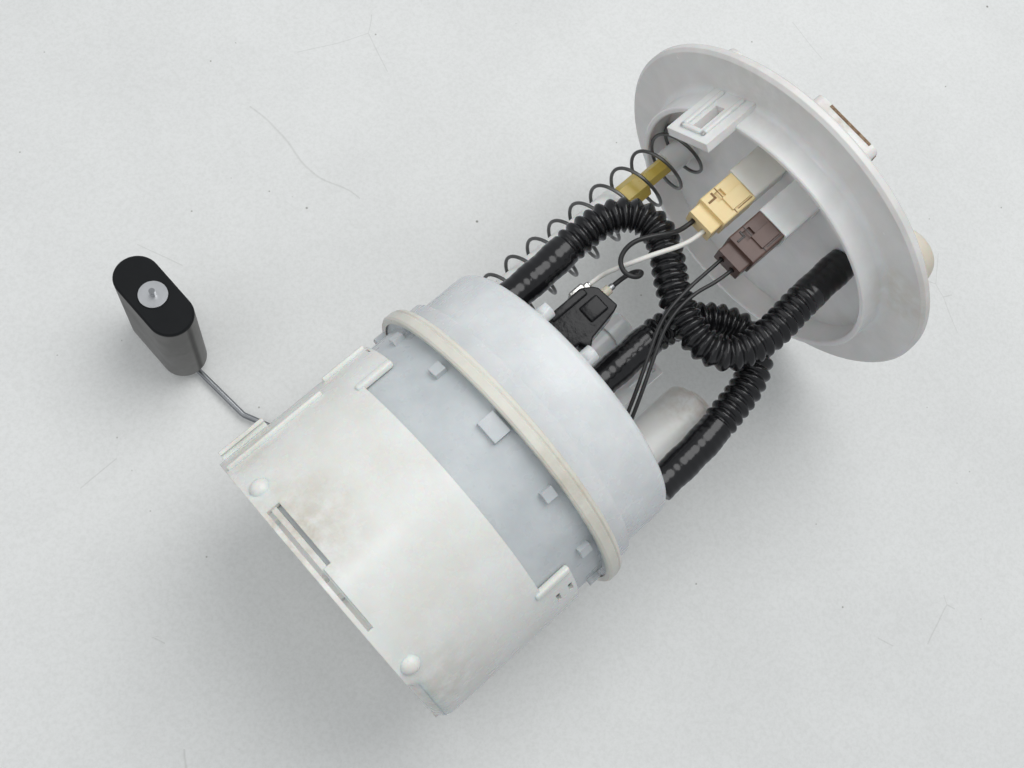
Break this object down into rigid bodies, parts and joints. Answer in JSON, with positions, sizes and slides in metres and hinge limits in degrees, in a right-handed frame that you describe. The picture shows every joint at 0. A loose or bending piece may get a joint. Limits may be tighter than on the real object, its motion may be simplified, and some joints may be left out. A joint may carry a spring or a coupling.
{
  "type": "in-tank fuel pump module",
  "caption": "Round flat-backed fuel reservoir with pump, corrugated hoses and float arm, under a spring-loaded tank flange on a guide rod.",
  "frame": {"origin": "axis of the reservoir pot at the level of its feet, on the tank floor", "axes": "+Z along the pot's axis towards the tank flange, -Y the front of the pot, +Y its flat side with the level sender, -X the float's side"},
  "size_m": [0.2177, 0.1464, 0.2346],
  "materials": {
    "pot_plastic": "satin",
    "shell_plastic": "satin",
    "ring_plastic": "satin",
    "lid_plastic": "satin",
    "flange_plastic": "satin",
    "cream_plastic": "satin",
    "brown_plastic": "satin",
    "yellow_plastic": "gloss",
    "sleeve_plastic": "satin",
    "clear_plastic": "gloss",
    "black_plastic": "gloss",
    "hose_nylon": "gloss",
    "float_foam": "matte",
    "spring_steel": "satin",
    "wire_steel": "satin",
    "zinc_steel": "satin",
    "brass_pins": "satin",
    "copper_winding": "satin",
    "ferrite": "matte",
    "black_rubber": "matte",
    "strainer_mesh": "matte",
    "card_ceramic": "matte",
    "white_insulation": "satin",
    "black_insulation": "satin"
  },
  "bodies": {
    "reservoir": {"outer_shell": "shell_plastic", "inner_pot": "pot_plastic", "lid": "lid_plastic", "retaining_ring": "ring_plastic", "guide_sleeve": "sleeve_plastic", "filter_column": "sleeve_plastic", "valve_cap": "clear_plastic", "latch_tower": "clear_plastic", "pump_can": "zinc_steel", "pump_inlet_cap": "black_plastic", "pump_outlet_cap": "black_plastic", "motor_magnets": "ferrite", "pump_collar": "black_rubber", "inlet_strainer": "strainer_mesh", "jet_pump": "black_plastic", "pump_plug": "black_plastic", "crimp_terminals": "zinc_steel", "sender_holder": "sleeve_plastic", "resistor_card": "card_ceramic", "guide_spring": "spring_steel", "hose_a": "hose_nylon", "hose_b": "hose_nylon", "white_wire": "white_insulation", "black_wire": "black_insulation", "sender_wire_left": "black_insulation", "sender_wire_right": "black_insulation"},
    "flange": {"tank_flange": "flange_plastic", "guide_rod": "yellow_plastic", "cream_post": "cream_plastic", "cream_connector": "cream_plastic", "brown_connector": "brown_plastic", "contact_pins": "brass_pins", "outlet_pipe": "flange_plastic"},
    "float_arm": {"arm_hub": "black_plastic", "wiper": "brass_pins", "float_arm_wire": "wire_steel", "float": "float_foam", "float_washer": "zinc_steel"},
    "pump_rotor": {"armature": "copper_winding", "impeller": "black_plastic"},
    "foot_valve_disc": {"foot_valve": "black_rubber"},
    "check_valve": {"check_poppet": "brass_pins"}
  },
  "joints": [
    {"name": "flange_travel", "type": "slide", "parent": "reservoir", "child": "flange", "axis": [0, 0, 1], "range_m": [-0.022, 0], "stiffness_N_per_m": 400, "springref_m": 0.03, "deforming": ["guide_spring", "hose_a", "white_wire", "black_wire", "sender_wire_left", "sender_wire_right"]},
    {"name": "float_swing", "type": "hinge", "parent": "reservoir", "child": "float_arm", "pos_m": [-0.02, 0.052, 0.048], "axis": [0, 1, 0], "range_deg": [0, 65]},
    {"name": "rotor_spin", "type": "hinge", "parent": "reservoir", "child": "pump_rotor", "pos_m": [-0.001, -0.012, 0.05], "axis": [0, 0, 1], "continuous": true},
    {"name": "foot_valve_lift", "type": "slide", "parent": "reservoir", "child": "foot_valve_disc", "axis": [0, 0, 1], "range_m": [0, 0.002]},
    {"name": "check_valve_lift", "type": "slide", "parent": "reservoir", "child": "check_valve", "axis": [0, 0, 1], "range_m": [0, 0.002]}
  ]
}
